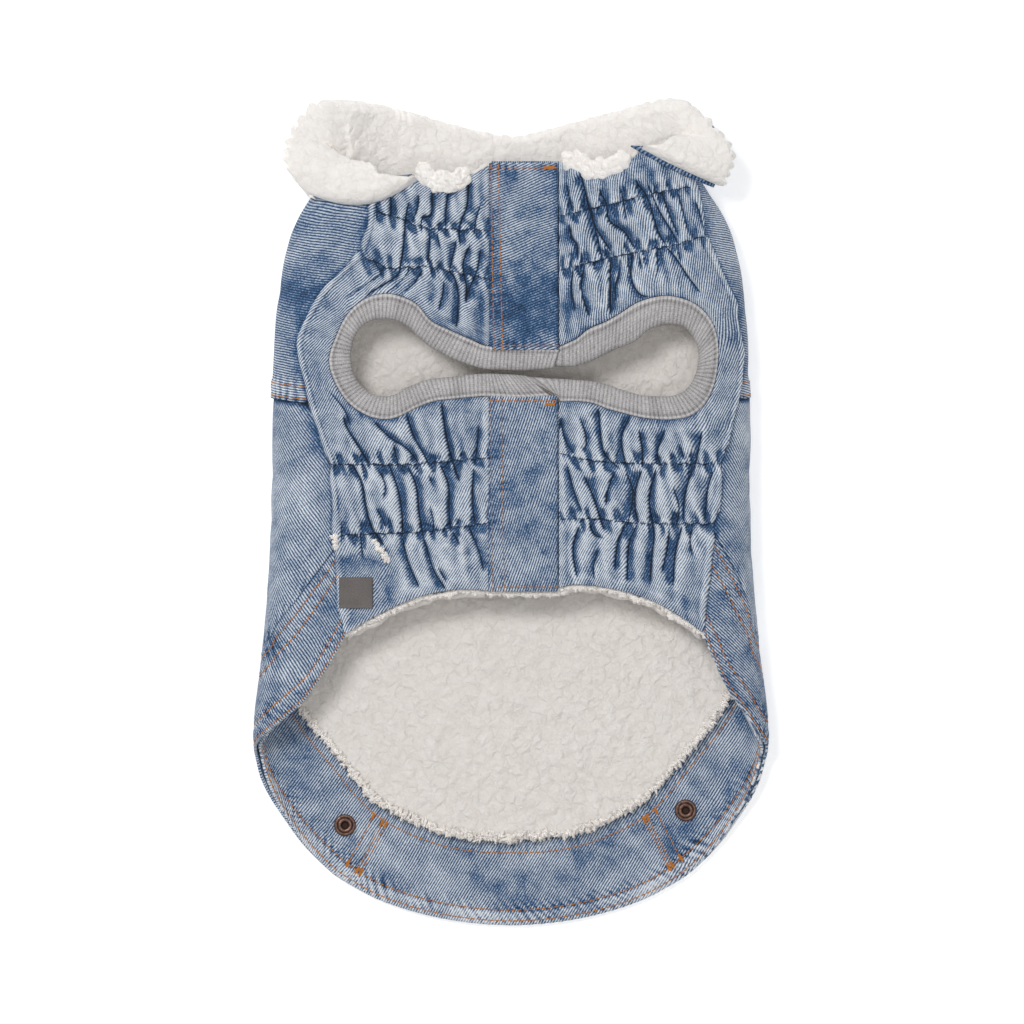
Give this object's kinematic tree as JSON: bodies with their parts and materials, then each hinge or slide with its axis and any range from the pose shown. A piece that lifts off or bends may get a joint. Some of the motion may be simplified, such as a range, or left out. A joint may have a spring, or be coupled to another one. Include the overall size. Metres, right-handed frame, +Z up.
{
  "type": "dog jacket",
  "caption": "Denim dog jacket with shirred fronts, ribbed armholes, a closed placket and white pile lining and collar, lying on its back.",
  "frame": {"origin": "bottom centre of the bounding box, on the surface the jacket lies on", "axes": "+X to the jacket's right as seen from above, +Y from tail hem to neck, +Z up from the back to the belly side"},
  "size_m": [0.2253, 0.3639, 0.0379],
  "materials": {
    "washed_denim": "stone-washed blue twill",
    "denim_facing": "washed blue twill, inner side of the hem",
    "white_pile": "curly off-white pile",
    "rib_knit": "heather grey rib knit",
    "aged_copper": "aged copper plating",
    "woven_tab": "plain dark grey weave"
  },
  "bodies": {
    "root": {"back_yoke": "washed_denim", "back_body": "washed_denim", "hem_band": "washed_denim", "hem_facing_left": "denim_facing", "hem_facing_centre": "denim_facing", "hem_facing_right": "denim_facing", "back_lining": "white_pile", "front_left": "washed_denim", "front_right": "washed_denim", "front_lining_left": "white_pile", "front_lining_right": "white_pile", "placket_chest": "washed_denim", "placket_belly": "washed_denim", "binding_left": "rib_knit", "binding_right": "rib_knit", "collar_under": "washed_denim", "collar_top": "white_pile", "tack_button_left": "aged_copper", "tack_button_right": "aged_copper", "label": "woven_tab"}
  },
  "joints": []
}
